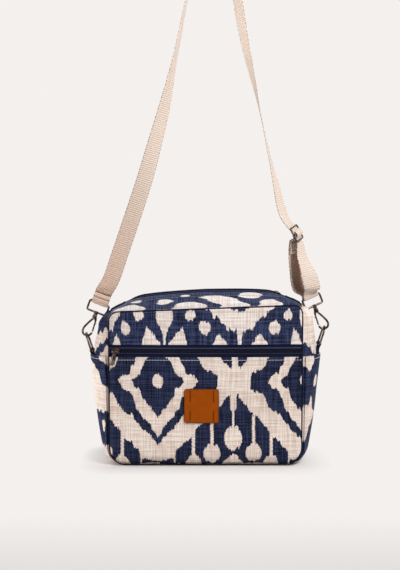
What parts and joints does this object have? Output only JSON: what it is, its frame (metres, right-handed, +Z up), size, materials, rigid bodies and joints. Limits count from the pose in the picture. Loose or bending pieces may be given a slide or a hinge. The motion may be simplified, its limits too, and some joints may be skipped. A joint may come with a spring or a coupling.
{
  "type": "shoulder bag",
  "caption": "Soft boxy shoulder bag of printed canvas with a domed zipped top, a zipped front pocket, side slip pockets and an adjustable webbing strap on swivel snap hooks.",
  "frame": {"origin": "the underside of the strap's highest point, where it hangs", "axes": "+Z up, -Y out of the front with its pocket, +X to the right as the front is seen"},
  "size_m": [0.363, 0.1011, 0.8068],
  "materials": {
    "canvas": "matt printed canvas",
    "lining": "plain lining cloth",
    "zip_tape": "woven zip tape",
    "leather": "smooth tan leather",
    "nickel": "dark nickel plate",
    "webbing": "ribbed cotton webbing"
  },
  "bodies": {
    "bag": {"front_upper": "canvas", "front_pocket": "canvas", "back_panel": "canvas", "side_left": "canvas", "side_right": "canvas", "side_pocket_left": "canvas", "side_pocket_right": "canvas", "base": "canvas", "top_front": "canvas", "top_back": "canvas", "zip_end_tab_left": "canvas", "zip_end_tab_right": "canvas", "d_ring_tab_left": "canvas", "d_ring_tab_right": "canvas", "main_zip_tape": "zip_tape", "main_zip_coil": "zip_tape", "pocket_zip_tape_upper": "zip_tape", "pocket_zip_tape_lower": "zip_tape", "pocket_zip_coil": "zip_tape", "main_zip_slider": "nickel", "pocket_zip_slider": "nickel", "hook_ring_left": "nickel", "hook_ring_right": "nickel", "hook_body_left": "nickel", "hook_body_right": "nickel", "d_ring_left": "nickel", "d_ring_right": "nickel", "strap_slide": "nickel", "pocket_lining": "lining", "label": "leather", "strap": "webbing"},
    "gate_left": {"hook_gate_left": "nickel"},
    "gate_right": {"hook_gate_right": "nickel"},
    "zip_pull": {"pocket_zip_pull": "nickel"}
  },
  "joints": [
    {"name": "gate_left", "type": "hinge", "parent": "bag", "child": "gate_left", "pos_m": [-0.1735, 0, -0.59981], "axis": [0, 1, 0], "range_deg": [0, 20], "stiffness_Nm_per_rad": 0.01, "springref_deg": -5.73},
    {"name": "gate_right", "type": "hinge", "parent": "bag", "child": "gate_right", "pos_m": [0.14842, 0, -0.59019], "axis": [0, -1, 0], "range_deg": [0, 20], "stiffness_Nm_per_rad": 0.01, "springref_deg": -5.73},
    {"name": "pocket_zip_pull", "type": "hinge", "parent": "bag", "child": "zip_pull", "pos_m": [-0.1413, -0.05068, -0.6377], "axis": [-1, 0, 0], "range_deg": [0, 150]}
  ]
}
